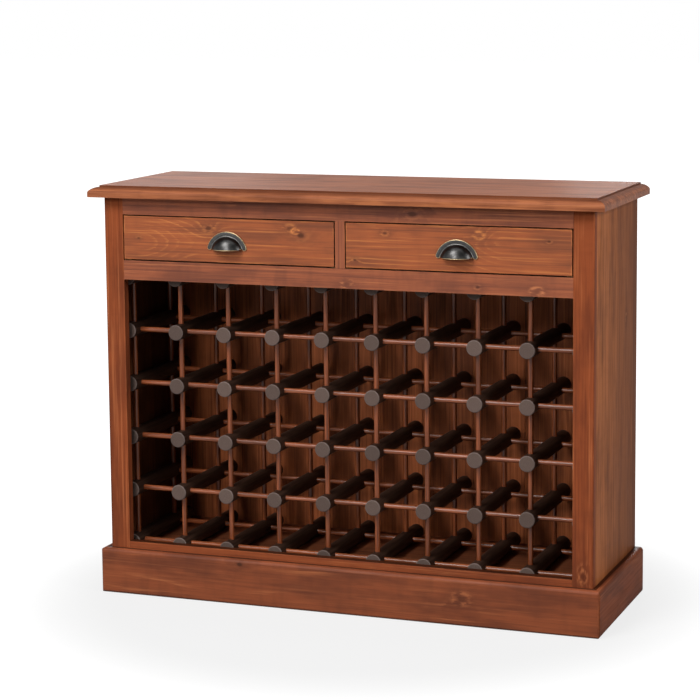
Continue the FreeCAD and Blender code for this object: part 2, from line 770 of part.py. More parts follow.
def cup_pull(name):
    """An arched flange with round feet, a hollow cup on its front and a threaded boss behind each foot."""
    pull = new_body(name + "_body")
    flange = outline(pull, name + "_flange", "XZ_Plane", [
        (-arch_hollow * across_share, lip_level, size.pull_foot),
        (arch_hollow * across_share, lip_level),
        (foot_tip, size.pull_foot - size.pull_foot * across_share, size.pull_foot),
        (arch_radius * across_share, shoulder_level, size.pull_foot),
        (-arch_radius * across_share, shoulder_level, arch_radius),
        (-foot_tip, size.pull_foot - size.pull_foot * across_share, size.pull_foot),
    ])
    pad(pull, flange, size.flange_thickness)
    bosses = circles(pull, name + "_bosses", "XZ_Plane", size.boss_diameter, boss_places)
    pad(pull, bosses, size.boss_length, backwards=True)
    threads = circles(pull, name + "_threads", "XZ_Plane",
                      size.pull_screw_diameter + size.screw_clearance * 2, boss_places)
    bind(threads, AttachmentOffset__Base__z=-screw_tip)
    pocket(pull, threads, size.pull_screw_engagement + size.overrun)
    cup = pull.newObject("PartDesign::AdditiveEllipsoid", name + "_cup")
    bind(cup, Radius1=size.cup_height, Radius2=size.cup_width / 2, Radius3=size.cup_projection)
    cup.Angle1 = 0
    cup.Angle2 = 90
    cup.Angle3 = 180
    cup.Placement.Rotation = FreeCAD.Rotation(upward, 180)
    bind(cup, Placement__Base__z=lip_level)
    hollow = pull.newObject("PartDesign::SubtractiveEllipsoid", name + "_hollow")
    bind(hollow, Radius1=size.cup_height - size.cup_wall, Radius2=size.cup_width / 2 - size.cup_wall)
    bind(hollow, Radius3=size.cup_projection - size.cup_wall, Placement__Base__z=lip_level)
    return pull


def pull_screws(name):
    """The two machine screws of a pull, from the drawer's inside into the bosses."""
    body = new_body(name + "_set", separate=True)
    shank = size.frame_thickness - screw_tip - size.screw_clearance
    profile = outline(body, name + "_outline", "XY_Plane", [
        (0, -shank),
        (size.pull_screw_diameter / 2, -shank),
        (size.pull_screw_diameter / 2, 0),
        (size.pull_screw_head_diameter / 2, 0),
        (size.pull_screw_head_diameter / 2, size.pull_screw_head_height),
        (0, size.pull_screw_head_height),
    ])
    screw = turn(body, profile)
    doc.recompute()
    pair = body.newObject("PartDesign::LinearPattern", name + "_pair")
    pair.Originals = [screw]
    pair.Direction = (profile, ["H_Axis"])
    pair.Occurrences = len(boss_places)
    bind(pair, Length=size.boss_spacing)
    body.Tip = pair
    return body


stops = []
for side, hand in hands:
    name = hand + "_drawer"
    left, right = mirrored(drawer_span, side)
    middle = (left + right) / 2
    inside = (left + size.drawer_side_thickness, right - size.drawer_side_thickness)
    grooved = (inside[0] - size.groove_depth, inside[1] + size.groove_depth)

    board = new_body(name + "_front_board")
    front_outline = outline(board, name + "_front_outline", "XZ_Plane", [
        (0, 0),
        (drawer_width, 0),
        (drawer_width, front_height),
        (0, front_height),
    ])
    plain = pad(board, front_outline, size.frame_thickness, backwards=True)
    doc.recompute()
    easing = board.newObject("PartDesign::Fillet", name + "_easing")
    edges = [f"Edge{index}" for index, edge in enumerate(plain.Shape.Edges, 1) if edge.BoundBox.YMax <= 0]
    easing.Base = (plain, edges)
    bind(easing, Radius=size.front_easing)
    place(board, left, face, front_bottom)

    groove_front = frame_back - size.groove_depth
    panel = block(name + "_panel", grooved, (groove_front, drawer_rear), panel_span)
    back_height = (panel_span[1], drawer_top - size.back_drop)
    back = block(name + "_back_board", grooved, drawer_back_span, back_height)
    front_cuts = [block(name + "_front_groove", inside, (groove_front, frame_back), panel_span)]
    side_depth = (face + size.lap_thickness, drawer_rear)
    side_height = (side_bottom, drawer_top)
    for flank, (start, end) in (("left", (left, inside[0])), ("right", (inside[1], right))):
        side_board = block(f"{name}_{flank}_board", (start, end), side_depth, side_height)
        node(cut(f"{name}_{flank}_cut", side_board, [panel, back]), f"{name}_{flank}_side")
        front_cuts.append(side_board)
    for number, (x, z) in enumerate(boss_places):
        spot = (middle + x, face, pull_level + z)
        recess = bore(
            f"{name}_recess_{number}", backward, *spot,
            size.boss_diameter + size.screw_clearance * 2, size.boss_length + size.screw_clearance,
        )
        through = bore(
            f"{name}_through_{number}", backward, *spot,
            size.pull_screw_diameter + size.screw_clearance * 2, size.frame_thickness,
        )
        front_cuts.append(join(f"{name}_pull_hole_{number}", [recess, through]))
    node(cut(name + "_front_cut", board, front_cuts), name + "_front")
    node(back, name + "_back")
    node(panel, name + "_bottom")

    pull = cup_pull(name + "_pull")
    place(pull, middle, face, pull_level)
    node(pull, name + "_pull")
    screws = pull_screws(name + "_pull_screw")
    place(screws, middle - size.boss_spacing / 2, frame_back, pull_level + size.pull_foot)
    node(screws, name + "_pull_screws")

    # Two blocks on the dust board stop the drawer with its front flush
    stop_front = frame_back + size.slide_clearance
    for number, share in enumerate(stop_shares):
        stop_left = left + drawer_width * share - size.stop_width / 2
        stops.append(block(
            f"{name}_stop_{number}",
            (stop_left, stop_left + size.stop_width),
            (stop_front, stop_front + size.stop_depth),
            (dust_top, opening_bottom + size.stop_reach),
        ))
stop_set = doc.addObject("Part::Compound", "stop_set")
stop_set.Links = stops
node(stop_set, "drawer_stops")

# Check every object, then write one file for each sub-part
doc.recompute()
failed = [item.Name for item in doc.Objects if {"Invalid", "Error"} & set(item.State)]
failed += [item.Label for item in nodes if item.Shape.isNull() or not item.Shape.isValid()]
if failed:
    raise SystemExit("failed: " + ", ".join(failed))
os.makedirs("parts", exist_ok=True)
for item in nodes:
    item.Shape.exportStep(f"parts/{item.Label}.step")
    box = item.Shape.BoundBox
    print(
        f"{item.Label}: {len(item.Shape.Solids)} solids, {item.Shape.Volume:.0f} mm3,"
        f" x {box.XMin:.1f} {box.XMax:.1f} y {box.YMin:.1f} {box.YMax:.1f} z {box.ZMin:.1f} {box.ZMax:.1f}"
    )
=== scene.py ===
import itertools
import math
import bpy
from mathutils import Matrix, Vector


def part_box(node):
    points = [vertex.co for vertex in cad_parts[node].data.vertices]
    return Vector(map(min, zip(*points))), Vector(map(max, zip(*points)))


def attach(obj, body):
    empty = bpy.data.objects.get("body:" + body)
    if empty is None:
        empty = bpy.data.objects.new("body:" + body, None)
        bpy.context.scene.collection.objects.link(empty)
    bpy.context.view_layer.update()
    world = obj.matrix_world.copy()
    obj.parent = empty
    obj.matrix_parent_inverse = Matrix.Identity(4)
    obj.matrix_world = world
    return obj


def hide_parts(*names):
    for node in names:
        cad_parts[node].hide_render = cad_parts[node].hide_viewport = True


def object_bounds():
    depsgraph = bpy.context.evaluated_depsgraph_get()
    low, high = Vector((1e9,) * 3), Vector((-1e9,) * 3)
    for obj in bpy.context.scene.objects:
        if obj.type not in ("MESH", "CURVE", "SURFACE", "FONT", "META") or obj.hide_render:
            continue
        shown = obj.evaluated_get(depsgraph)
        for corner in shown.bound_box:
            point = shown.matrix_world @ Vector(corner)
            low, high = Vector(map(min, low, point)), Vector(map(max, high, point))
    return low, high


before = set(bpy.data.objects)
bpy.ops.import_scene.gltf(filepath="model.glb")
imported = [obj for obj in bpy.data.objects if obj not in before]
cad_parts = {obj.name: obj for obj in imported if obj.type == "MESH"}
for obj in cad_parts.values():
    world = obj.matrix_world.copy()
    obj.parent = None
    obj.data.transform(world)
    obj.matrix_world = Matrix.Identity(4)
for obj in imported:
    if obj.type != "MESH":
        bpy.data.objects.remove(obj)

from types import SimpleNamespace

import bpy
from mathutils import Matrix, Vector

cad_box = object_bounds()

# Face frame: three rails, a short divider and two stiles in stained pine, mortised, glued and sanded flush.
# The red-brown stain sits unevenly under a satin lacquer, and the hard late wood of the rings stays lighter.
# The faces behind the planed fronts are painted nearly black, as painted shade that deepens the gaps between
# the parts.
frame_stain = ((0.29, 0.072, 0.026), (0.53, 0.175, 0.066), (0.12, 0.032, 0.017))
rail_stain = ((0.325, 0.097, 0.045), (0.6, 0.21, 0.085), (0.12, 0.041, 0.028))
rail_shade_behind = 0.85
rail_look = {"mottle": 0.35, "shade_behind": rail_shade_behind}
top_knots = [(0.16, 0.856, 0.012, 0.7)]
middle_knots = [(0.015, 0.706, 0.009, 0.1), (0.3, 0.71, 0.005, 0.6), (0.425, 0.706, 0.009, 0.1)]
stile_knots = [(0.124, 0.523, 0.009, 0.25)]
frame_arris = 0.0008
weld_reach = 0.00001
flat_angle = 0.5
sharp_angle = 40


def add(tree, kind, sockets=(), **options):
    """Add a shader node, with its options set and its sockets filled by values or by other nodes."""
    item = tree.nodes.new("ShaderNode" + kind)
    for name, value in options.items():
        setattr(item, name, value)
    for key, value in dict(sockets).items():
        if isinstance(value, bpy.types.NodeSocket):
            tree.links.new(value, item.inputs[key])
        else:
            item.inputs[key].default_value = value
    return item


def calc(tree, operation, *values):
    """One step of arithmetic between sockets and numbers."""
    return add(tree, "Math", enumerate(values), operation=operation).outputs[0]


def times(tree, value, factor):
    """A value times another."""
    return calc(tree, "MULTIPLY", value, factor)


def hump(tree, squared, steepness):
    """A bell shape that is one where a squared distance is nought."""
    return calc(tree, "EXPONENT", times(tree, squared, -steepness))


def fade(tree, value, start, end):
    """A smooth step from nought to one between two values."""
    sockets = {"Value": value, "From Min": start, "From Max": end}
    return add(tree, "MapRange", sockets, interpolation_type="SMOOTHSTEP").outputs[0]


def between(tree, value, low, high, start=0.3, end=0.7):
    """Spread a value over a range, from where a noise mostly lies."""
    sockets = {"Value": value, "From Min": start, "From Max": end, "To Min": low, "To Max": high}
    return add(tree, "MapRange", sockets).outputs[0]


def length(tree, vector):
    """How long a vector is."""
    return add(tree, "VectorMath", {0: vector}, operation="LENGTH").outputs["Value"]


def tint(tree, share, under, over):
    """Lay one colour over another by a share."""
    under, over = (side if isinstance(side, bpy.types.NodeSocket) else (*side, 1) for side in (under, over))
    return add(tree, "Mix", {0: share, 6: under, 7: over}, data_type="RGBA").outputs[2]


def grain_noise(tree, place, stretch, seed, detail):
    """Noise that is drawn out along the grain, from a stretch for each direction."""
    drawn = add(tree, "VectorMath", {0: place, 1: stretch, 2: (seed, seed, seed)}, operation="MULTIPLY_ADD")
    sockets = {"Vector": drawn.outputs[0], "Scale": 1.0, "Detail": detail, "Roughness": 0.6}
    return add(tree, "TexNoise", sockets).outputs["Fac"]


def at_random(tree, number):
    """A random share that belongs to a whole number."""
    return add(tree, "TexWhiteNoise", {"W": number}, noise_dimensions="1D").outputs["Value"]


def new_finish(name):
    """Start a material, and give it with its nodes, its shader and the place of each point."""
    material = bpy.data.materials.new(name)
    material.use_nodes = True
    tree = material.node_tree
    return material, tree, tree.nodes["Principled BSDF"], add(tree, "TexCoord").outputs["Object"]


def join_finish(tree, shader, colour, rough, relief, strength, depth):
    """Join a colour, a roughness and a relief to the shader."""
    bump = add(tree, "Bump", {"Height": relief, "Strength": strength, "Distance": depth}).outputs[0]
    for socket, value in (("Base Color", colour), ("Roughness", rough), ("Normal", bump)):
        tree.links.new(value, shader.inputs[socket])


def paint(node, material):
    """Give a part of the frame its finish."""
    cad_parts[node].data.materials.clear()
    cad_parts[node].data.materials.append(material)


def lay_out(tree, place, node, along, through):
    """A board's own directions from its middle: u along its grain, v across its face and w through it."""
    low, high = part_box(node)
    middle = (low + high) / 2
    half = (high - low) / 2
    grain, thickness = "xyz".index(along), "xyz".index(through)
    axes = (grain, 3 - grain - thickness, thickness)
    parts = add(tree, "SeparateXYZ", {0: place}).outputs
    u, v, w = (calc(tree, "SUBTRACT", parts[axis], middle[axis]) for axis in axes)
    return SimpleNamespace(
        tree=tree, u=u, v=v, w=w,
        place=add(tree, "CombineXYZ", {0: u, 1: v, 2: w}).outputs[0],
        station=parts[grain],
        middle=[middle[axis] for axis in axes],
        half=[half[axis] for axis in axes],
    )


# The log: how far its rings sway, and the share of its lean that goes through the board.
sway_width = 0.03
lean_through = 0.4


def from_heart(board, pith, lean, sweep, sway):
    """How far each point lay from the log's heart, which leans to the board and may sweep up in a curve."""
    tree = board.tree
    slope = times(tree, board.u, lean)
    rise = calc(tree, "SUBTRACT", calc(tree, "SUBTRACT", board.v, slope), pith[0])
    depth = calc(tree, "ADD", calc(tree, "SUBTRACT", board.w, pith[1]), times(tree, slope, lean_through))
    if sweep:
        start, end, height = sweep
        depth = calc(tree, "MULTIPLY_ADD", fade(tree, board.station, start, end), -height, depth)
    radius = length(tree, add(tree, "CombineXYZ", {1: rise, 2: depth}).outputs[0])
    return calc(tree, "MULTIPLY_ADD", sway, sway_width, radius)


# A knot, in steps of its own size: its length, the swell of the rings round it, its heart and its rim.
knot_heart = (0.035, 0.012, 0.006)
knot_length = 1.6
knot_swell = 1.1
swell_steepness = 0.3
halo_steepness = 0.32
torn_edge = (2.6, -0.4)
heart_fade = (0.3, 0.02)
rim_radius = 0.9
rim_width = 0.35
rim_patches = (0.4, 0.6)


def knot_marks(board, knots, radius, ragged):
    """Swell the rings round each knot, and find its dark heart, the halo round it and its pale rim."""
    tree = board.tree
    heart = halo = pale = 0.0
    for along, across, spread, dark in knots:
        aside = calc(tree, "SUBTRACT", board.u, along - board.middle[0])
        aside = calc(tree, "DIVIDE", aside, spread * knot_length)
        above = calc(tree, "DIVIDE", calc(tree, "SUBTRACT", board.v, across - board.middle[1]), spread)
        far = calc(tree, "ADD", times(tree, aside, aside), times(tree, above, above))
        radius = calc(tree, "MULTIPLY_ADD", hump(tree, far, swell_steepness), spread * knot_swell, radius)
        torn = times(tree, far, calc(tree, "MULTIPLY_ADD", ragged, *torn_edge))
        heart = calc(tree, "MAXIMUM", heart, times(tree, fade(tree, torn, *heart_fade), dark))
        halo = calc(tree, "MAXIMUM", halo, hump(tree, torn, halo_steepness))
        rim = calc(tree, "DIVIDE", calc(tree, "SUBTRACT", calc(tree, "SQRT", far), rim_radius), rim_width)
        rim = times(tree, hump(tree, times(tree, rim, rim), 1.0), fade(tree, ragged, *rim_patches))
        pale = calc(tree, "MAXIMUM", pale, times(tree, rim, 1.0 - dark))
    return radius, heart, halo, pale


# The late wood: where it rises and ends in a ring, and what it gains, from a least share, by other things.
late_rise = (0.55, 0.93)
late_end = (1.0, 0.93)
late_strands = (0.58, 0.42)
gain_by_patch = (0.6, 0.08)
gain_by_year = (0.8, 0.2)
gain_by_strand = (0.75, 0.25)
sweep_width = 0.7
sweep_gain = 0.7


def late_wood(board, turns, strand, patch, sweep):
    """The pale late wood of each ring: stronger in some patches and years, and where the grain sweeps."""
    tree = board.tree
    phase = calc(tree, "FRACT", turns)
    year = at_random(tree, calc(tree, "FLOOR", turns))
    if sweep:
        start, end = sweep[:2]
        reach = calc(tree, "SUBTRACT", board.station, (start + end) / 2)
        reach = calc(tree, "DIVIDE", reach, (end - start) * sweep_width)
        near = hump(tree, times(tree, reach, reach), 1.0)
        patch = calc(tree, "MAXIMUM", patch, times(tree, near, sweep_gain))
    late = times(tree, fade(tree, phase, *late_rise), fade(tree, phase, *late_end))
    late = times(tree, late, calc(tree, "MULTIPLY_ADD", patch, *gain_by_patch))
    late = times(tree, late, calc(tree, "MULTIPLY_ADD", year, *gain_by_year))
    return times(tree, late, calc(tree, "MULTIPLY_ADD", fade(tree, strand, *late_strands), *gain_by_strand))


# The staves of a jointed board: the shift of the rings from one to the next, and their shades.
stave_shift = 0.0137
stave_random = 0.15
stave_step = 0.16
stave_middle = 0.45


def stave_tone(tree, number):
    """How dark each stave of a jointed board is: at random, and darker from one edge to the other."""
    stepped = calc(tree, "MULTIPLY_ADD", number, stave_step, stave_middle)
    return calc(tree, "MULTIPLY_ADD", at_random(tree, number), stave_random, stepped)


# Wear and painted shade: how far they reach in, from an arris or behind a ledge.
rubbed_reach = (0.0028, 0.0006)
rubbed_patches = (0.42, 0.7)
shade_behind_colour = (0.012, 0.004, 0.002)
shade_behind_reach = 0.001


def rubbed_arris(board, rubbed):
    """The stretches of a board's arrises where the stain is rubbed thin."""
    tree = board.tree
    sides = zip(board.half, (board.u, board.v, board.w))
    ends, edges, faces = (calc(tree, "SUBTRACT", half, calc(tree, "ABSOLUTE", part)) for half, part in sides)
    nearer = calc(tree, "MINIMUM", ends, edges)
    farther = calc(tree, "MAXIMUM", ends, edges)
    arris = calc(tree, "MAXIMUM", nearer, calc(tree, "MINIMUM", farther, faces))
    return times(tree, fade(tree, arris, *rubbed_reach), fade(tree, rubbed, *rubbed_patches))


# Painted shade: the faces behind a board's front, which lie in the gaps and under the parts above, are
# painted nearly black.
def behind_face(board, ledge):
    """What lies further than a ledge behind the board's outer face."""
    facing = math.copysign(1.0, board.middle[2])
    inward = calc(board.tree, "MULTIPLY_ADD", board.w, -facing, board.half[2])
    return fade(board.tree, inward, ledge, ledge + shade_behind_reach)


# Each noise of a board: its steps a metre along, across and through the board, its seed and its detail.
sway_noise = ((2.2, 9, 9), 0, 1.5)
ragged_noise = ((45, 130, 130), 20, 3.0)
fibre_noise = ((9, 420, 420), 3, 4.0)
strand_noise = ((3, 210, 210), 25, 3.0)
late_noise = ((4, 16, 16), 5, 2.0)
blotch_noise = ((5, 22, 22), 8, 3.0)
figure_noise = ((34, 9, 9), 11, 2.0)
rubbed_noise = ((18, 40, 40), 15, 3.0)
seed_step = 7.31
board_numbers = itertools.count(1)

# Where the patches of a noise start and are full, and how strong they and the knots' marks are.
late_patches = (0.45, 0.7)
blotch_patches = (0.4, 0.68)
figure_patches = (0.45, 0.75)
deep_streaks = (0.52, 0.67)
light_streaks = (0.43, 0.31)
fibre_streaks = (0.5, 0.75)
blotch_share = 0.62
deep_share = 0.56
light_share = 0.42
fibre_share = 0.45
halo_share = 0.6
rim_share = 0.8
heart_share = 0.85
ring_waver = 0.5
late_relief = 0.5
pine_gloss = (0.4, 0.54)
pine_bump = (0.2, 0.0004)


def stained_pine(node, along, through, finish, knots=(), pith=(0.01, 0.07), lean=0.03, ring=0.0065,
                 wear=0.3, sheen=0.12, mottle=0.15, sweep=None, stave=None,
                 shade_behind=0.0, ledge=0.0002, streaks=1.0):
    """Paint a board as pine sawn beside the heart of a log, with rings that bend round its knots.

    A finish is the stain's main, light and deep colour. A knot is its place along and across the board,
    its size and how dark its heart is. The pith is where the heart lies, across the board and through it.
    """
    material, tree, shader, place = new_finish(node + "_wood")
    board = lay_out(tree, place, node, along, through)
    seed = next(board_numbers) * seed_step

    def noise(stretch, offset, detail):
        """One of the board's own noises."""
        return grain_noise(tree, board.place, stretch, seed + offset, detail)

    radius = from_heart(board, pith, lean, sweep, noise(*sway_noise))
    if stave:
        number = calc(tree, "FLOOR", calc(tree, "DIVIDE", board.v, stave))
        radius = calc(tree, "MULTIPLY_ADD", number, stave_shift, radius)
    radius, heart, halo, pale = knot_marks(board, knots, radius, noise(*ragged_noise))
    fibre = noise(*fibre_noise)
    strand = noise(*strand_noise)
    turns = calc(tree, "MULTIPLY_ADD", fibre, ring_waver, calc(tree, "DIVIDE", radius, ring))
    late = late_wood(board, turns, strand, fade(tree, noise(*late_noise), *late_patches), sweep)

    # Each layer of colour is where it lies, how strong it is and what colour it has.
    main, light, deep = finish
    layers = [
        (fade(tree, noise(*blotch_noise), *blotch_patches), blotch_share, deep),
        (fade(tree, noise(*figure_noise), *figure_patches), mottle, deep),
        (late, 1.0, light),
        (fade(tree, strand, *deep_streaks), streaks * deep_share, deep),
        (fade(tree, strand, *light_streaks), streaks * light_share, light),
        (fade(tree, fibre, *fibre_streaks), fibre_share, deep),
    ]
    if stave:
        layers.append((stave_tone(tree, number), 1.0, deep))
    if knots:
        layers += [(halo, halo_share, deep), (pale, rim_share, light), (heart, heart_share, knot_heart)]
    if wear:
        layers.append((rubbed_arris(board, noise(*rubbed_noise)), wear, light))
    # Painted shade on the faces behind the board's front.
    if shade_behind:
        layers.append((behind_face(board, ledge), shade_behind, shade_behind_colour))
    colour = main
    for share, strength, over in layers:
        colour = tint(tree, times(tree, share, strength), colour, over)
    relief = calc(tree, "MULTIPLY_ADD", late, late_relief, fibre)
    join_finish(tree, shader, colour, between(tree, fibre, *pine_gloss), relief, *pine_bump)
    shader.inputs["Specular IOR Level"].default_value = sheen
    paint(node, material)


def bevel(piece, name, width, segments, angle):
    """Round the edges of a piece that are sharper than an angle."""
    rounded = piece.modifiers.new(name, "BEVEL")
    rounded.width = width
    rounded.segments = segments
    rounded.limit_method = "ANGLE"
    rounded.angle_limit = math.radians(angle)


def ease_edges(node, width):
    """Take the sharp arrises off a board, as with a pass of sandpaper."""
    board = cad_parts[node]
    weld = board.modifiers.new("weld", "WELD")
    weld.merge_threshold = weld_reach
    flat = board.modifiers.new("flat", "DECIMATE")
    flat.decimate_type = "DISSOLVE"
    flat.angle_limit = math.radians(flat_angle)
    bevel(board, "arris", width, segments=2, angle=sharp_angle)


stained_pine("top_rail", "x", "y", rail_stain, top_knots, lean=0.01, **rail_look)
stained_pine("middle_rail", "x", "y", rail_stain, middle_knots, pith=(-0.02, 0.05), lean=-0.02, **rail_look)
stained_pine("bottom_rail", "x", "y", frame_stain, pith=(0.01, 0.05), lean=0.01, sheen=0.05, shade_behind=rail_shade_behind)
stained_pine("drawer_divider", "z", "y", rail_stain, pith=(0.004, 0.03), lean=0.05, shade_behind=rail_shade_behind)
stained_pine("left_stile", "z", "y", frame_stain, pith=(0.015, 0.055), lean=0.015, sheen=0.01)
stained_pine("right_stile", "z", "y", frame_stain, stile_knots, pith=(-0.012, 0.06), lean=-0.012, sheen=0.01)
for piece in ("top_rail", "middle_rail", "bottom_rail", "drawer_divider", "left_stile", "right_stile"):
    ease_edges(piece, frame_arris)

# Sides: wide boards jointed from upright pine staves, tongued into the stiles and stained with them.
# Their outer faces are painted much lighter than the front, as painted light that makes up for the weak lamp
# on the sides.
# Their inner faces are painted nearly black, as painted shade inside the cabinet.
side_stain_lightened = ((0.53, 0.172, 0.056), (0.66, 0.245, 0.092), (0.15, 0.044, 0.015))
side_look = {"ring": 0.008, "sheen": 0.01, "stave": 0.072}
side_knots = [(0.62, 0.1, 0.006, 0.6)]
inner_face = 0.526
inner_full = inner_face + 0.0005
inner_clear = inner_face + 0.002
inner_shade_share = 0.75
inner_face_shade = (0.028, 0.011, 0.007)


def wash(node, colour, share):
    """Lay a colour over a part's finish, by a share that a function works out from each point's place."""
    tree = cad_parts[node].data.materials[0].node_tree
    stain = tree.nodes["Principled BSDF"].inputs["Base Color"]
    place = add(tree, "TexCoord").outputs["Object"]
    parts = add(tree, "SeparateXYZ", {0: place}).outputs
    tree.links.new(tint(tree, share(tree, place, parts), stain.links[0].from_socket, colour), stain)


def on_inner_face(tree, place, parts):
    """The face of a side that looks into the cabinet."""
    across = calc(tree, "ABSOLUTE", parts[0])
    return times(tree, fade(tree, across, inner_clear, inner_full), inner_shade_share)


stained_pine("left_side", "z", "x", side_stain_lightened, pith=(0.03, 0.16), lean=0.02, **side_look)
stained_pine("right_side", "z", "x", side_stain_lightened, side_knots, pith=(-0.04, -0.15), lean=0.025, **side_look)
# Painted shade: the sides' inner faces are washed nearly black.
for piece in ("left_side", "right_side"):
    wash(piece, inner_face_shade, on_inner_face)

# Floor, dust board and back rail: plain boards housed between the sides.
# The floor shows between the lowest pegs and is stained darker than the frame.
# The other two stay bare and out of sight.
bare_pine = ((0.5, 0.29, 0.12), (0.58, 0.37, 0.17), (0.36, 0.18, 0.07))
floor_stain = ((0.27, 0.082, 0.034), (0.42, 0.14, 0.056), (0.08, 0.025, 0.012))
stained_pine("floor_board", "x", "z", floor_stain, pith=(0.02, 0.1), lean=0.02, ring=0.008)
stained_pine("dust_board", "x", "z", bare_pine, pith=(0.02, 0.1), lean=0.02, ring=0.008)
stained_pine("back_rail", "x", "y", bare_pine, pith=(0.01, 0.06), lean=0.01)

# Rack pegs: turned dowels stained nearly black, with eased ends and a socket wherever a rod meets them.
# The sawn ends drink the stain unevenly, so they look greyer than the turned sides and show their rings.
peg_pitch = (0.113, 0.118)
peg_radius = 0.017
peg_ring = 0.0026
peg_ring_waver = 0.6
peg_sheen = 0.12
peg_gloss = (0.42, 0.7)
peg_shades = (0.35, 0.82)
heart_stray = (0.045, 0, 0.045)
speck_noise = ((700, 40, 700), 2.0, 3.0)
streak_noise = ((260, 9, 260), 5.0, 3.0)
streak_patches = (0.35, 0.7)
speck_patches = (0.45, 0.7)
speck_share = 0.35
end_rings = (0.5, 0.9)
end_ring_share = 0.5
end_depth = (0.0017, 0.0013)
end_edge = (0.0152, 0.0158)
end_edge_share = 0.5
peg_dark = (0.02, 0.010, 0.007)
peg_light = (0.05, 0.026, 0.017)
end_grey = (0.118, 0.08, 0.066)
end_ring = (0.06, 0.039, 0.032)
end_speck = (0.165, 0.122, 0.106)
end_pale = (0.2, 0.16, 0.145)
peg_low, peg_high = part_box("rack_pegs")
peg_middle = (peg_low.y + peg_high.y) / 2
peg_half = (peg_high.y - peg_low.y) / 2
peg_finish, tree, shader, place = new_finish("dark_peg")
x, y, z = add(tree, "SeparateXYZ", {0: place}).outputs
column = calc(tree, "DIVIDE", calc(tree, "SUBTRACT", x, peg_low.x + peg_radius), peg_pitch[0])
row = calc(tree, "DIVIDE", calc(tree, "SUBTRACT", z, peg_low.z + peg_radius), peg_pitch[1])
nearest = [calc(tree, "ROUND", count) for count in (column, row)]
off_x = times(tree, calc(tree, "SUBTRACT", column, nearest[0]), peg_pitch[0])
off_z = times(tree, calc(tree, "SUBTRACT", row, nearest[1]), peg_pitch[1])
spot = add(tree, "CombineXYZ", {0: off_x, 2: off_z}).outputs[0]
peg_number = add(tree, "CombineXYZ", {0: nearest[0], 1: nearest[1]}).outputs[0]
own = add(tree, "TexWhiteNoise", {"Vector": peg_number}, noise_dimensions="3D").outputs
stray = add(tree, "VectorMath", {0: own["Color"], 1: (0.5, 0.5, 0.5)}, operation="SUBTRACT").outputs[0]
heart = add(tree, "VectorMath", {0: stray, 1: heart_stray, 2: spot}, operation="MULTIPLY_ADD").outputs[0]
speck = grain_noise(tree, place, *speck_noise)
streak = grain_noise(tree, place, *streak_noise)
rings = calc(tree, "DIVIDE", length(tree, heart), peg_ring)
ring = calc(tree, "FRACT", calc(tree, "MULTIPLY_ADD", speck, peg_ring_waver, rings))
to_end = calc(tree, "ABSOLUTE", calc(tree, "SUBTRACT", y, peg_middle))
sawn = fade(tree, to_end, peg_half - end_depth[0], peg_half - end_depth[1])
turned = tint(tree, fade(tree, streak, *streak_patches), peg_dark, peg_light)
end = tint(tree, times(tree, fade(tree, ring, *end_rings), end_ring_share), end_grey, end_ring)
end = tint(tree, times(tree, fade(tree, speck, *speck_patches), speck_share), end, end_speck)
end = tint(tree, times(tree, fade(tree, length(tree, spot), *end_edge), end_edge_share), end, end_pale)
shade = calc(tree, "MULTIPLY_ADD", own["Value"], *peg_shades)
colour = tint(tree, sawn, turned, end)
colour = add(tree, "VectorMath", {0: colour, "Scale": shade}, operation="SCALE").outputs[0]
rough = between(tree, sawn, *peg_gloss, 0.0, 1.0)
join_finish(tree, shader, colour, rough, calc(tree, "ADD", streak, speck), *pine_bump)
shader.inputs["Specular IOR Level"].default_value = peg_sheen
paint("rack_pegs", peg_finish)

# Rack rods: thin turned dowels, plugged and glued between the pegs in two upright planes.
# They are stained red-brown and lacquered, and catch long highlights.
rod_dark = (0.1, 0.025, 0.009)
rod_light = (0.35, 0.092, 0.031)
rod_deep = (0.09, 0.025, 0.01)
rod_streaks = (0.3, 0.7)
rod_patches = (0.4, 0.7)
rod_patch_share = 0.5
rod_bump = (0.15, 0.0003)
rod_fine_steps = 420
rod_long_steps = 10
rod_patch_steps = 11
rod_gloss = (0.2, 0.28)
rod_sheen = 0.28


def stained_rod(name, stretch, seed):
    """Turned pine with fine grain along its length, lacquered glossy."""
    material, tree, shader, place = new_finish(name)
    streak = grain_noise(tree, place, stretch, seed, 3.0)
    patch = grain_noise(tree, place, (rod_patch_steps,) * 3, seed + 2, 1.0)
    colour = tint(tree, fade(tree, streak, *rod_streaks), rod_dark, rod_light)
    colour = tint(tree, times(tree, fade(tree, patch, *rod_patches), rod_patch_share), colour, rod_deep)
    join_finish(tree, shader, colour, between(tree, streak, *rod_gloss), streak, *rod_bump)
    shader.inputs["Specular IOR Level"].default_value = rod_sheen
    return material


upright_finish = stained_rod("upright_rod", (rod_fine_steps, rod_fine_steps, rod_long_steps), 3.0)
cross_finish = stained_rod("cross_rod", (rod_long_steps, rod_fine_steps, rod_fine_steps), 9.0)
for wall in ("front", "back"):
    paint(wall + "_upright_rods", upright_finish)
    paint(wall + "_cross_rods", cross_finish)

# Back: nine upright boards, tongued together with a fine gap and screwed on from behind.
# They come from different logs, so each has its own grain and shade.
back_pine = ((0.38, 0.105, 0.035), (0.66, 0.21, 0.075), (0.1, 0.025, 0.009))
back_shades = (1.0, 0.8, 1.1, 0.9, 1.15, 0.85, 1.05, 0.95, 0.88)
back_hearts = (0.03, -0.05, 0.01, 0.06, -0.02, 0.045, -0.035, 0.0, 0.055)
back_lean_share = 0.4
back_arris = 0.001
for number, (shade, heart) in enumerate(zip(back_shades, back_hearts), 1):
    back_stain = tuple(tuple(part * shade for part in colour) for colour in back_pine)
    piece = f"back_board_{number}"
    stained_pine(piece, "z", "y", back_stain, pith=(heart, -0.05), lean=heart * back_lean_share, ring=0.006)
    ease_edges(piece, back_arris)

